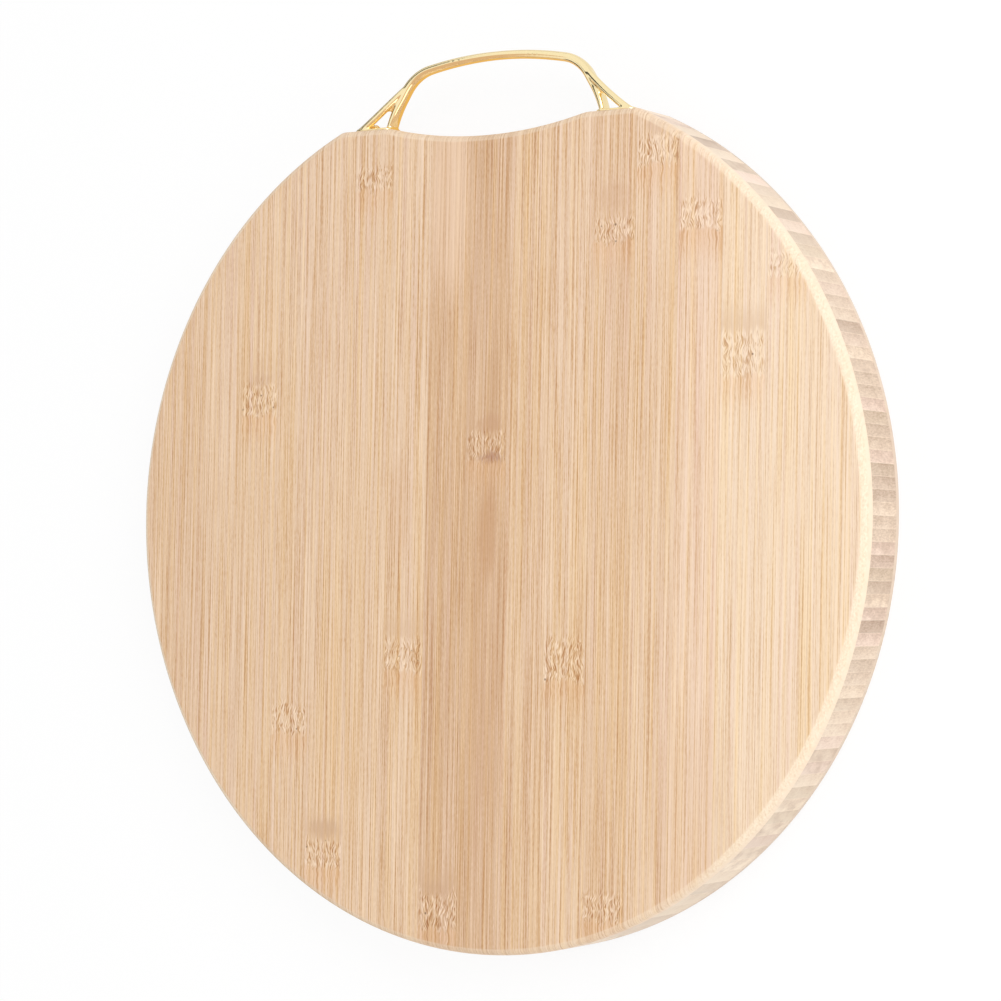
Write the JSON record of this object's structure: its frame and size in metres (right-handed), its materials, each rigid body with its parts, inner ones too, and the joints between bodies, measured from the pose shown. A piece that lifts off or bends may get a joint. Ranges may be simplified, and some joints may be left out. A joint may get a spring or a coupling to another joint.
{
  "type": "cutting board",
  "caption": "Round three-ply bamboo cutting board with a slim gold bow handle over a shallow valley in its edge, screwed on at both feet.",
  "frame": {"origin": "centre of the disc on the underside, where the board rests", "axes": "+Z out of the cutting face, +Y towards the handle, +X to the right seen from above with the handle at the far side"},
  "size_m": [0.36, 0.3741, 0.03],
  "materials": {
    "face_bamboo": "pale bamboo strips laid flat, fine sanded and lightly oiled",
    "core_bamboo": "pale bamboo laths on edge, sanded end grain",
    "polished_gold": "polished gold-coloured casting",
    "screw_brass": "bright brass wood screws"
  },
  "bodies": {
    "root": {"front_strip_01": "face_bamboo", "front_strip_02": "face_bamboo", "front_strip_03": "face_bamboo", "front_strip_04": "face_bamboo", "front_strip_05": "face_bamboo", "front_strip_06": "face_bamboo", "front_strip_07": "face_bamboo", "front_strip_08": "face_bamboo", "front_strip_09": "face_bamboo", "front_strip_10": "face_bamboo", "front_strip_11": "face_bamboo", "front_strip_12": "face_bamboo", "front_strip_13": "face_bamboo", "front_strip_14": "face_bamboo", "front_strip_15": "face_bamboo", "front_strip_16": "face_bamboo", "front_strip_17": "face_bamboo", "front_strip_18": "face_bamboo", "front_strip_19": "face_bamboo", "core_laths_01": "core_bamboo", "core_laths_02": "core_bamboo", "core_laths_03": "core_bamboo", "core_laths_04": "core_bamboo", "core_laths_05": "core_bamboo", "core_laths_06": "core_bamboo", "core_laths_07": "core_bamboo", "core_laths_08": "core_bamboo", "core_laths_09": "core_bamboo", "core_laths_10": "core_bamboo", "core_laths_11": "core_bamboo", "core_laths_12": "core_bamboo", "core_laths_13": "core_bamboo", "core_laths_14": "core_bamboo", "core_laths_15": "core_bamboo", "back_strip_01": "face_bamboo", "back_strip_02": "face_bamboo", "back_strip_03": "face_bamboo", "back_strip_04": "face_bamboo", "back_strip_05": "face_bamboo", "back_strip_06": "face_bamboo", "back_strip_07": "face_bamboo", "back_strip_08": "face_bamboo", "back_strip_09": "face_bamboo", "back_strip_10": "face_bamboo", "back_strip_11": "face_bamboo", "back_strip_12": "face_bamboo", "back_strip_13": "face_bamboo", "back_strip_14": "face_bamboo", "back_strip_15": "face_bamboo", "back_strip_16": "face_bamboo", "back_strip_17": "face_bamboo", "back_strip_18": "face_bamboo", "back_strip_19": "face_bamboo", "handle": "polished_gold", "screw_left": "screw_brass", "screw_right": "screw_brass"}
  },
  "joints": []
}
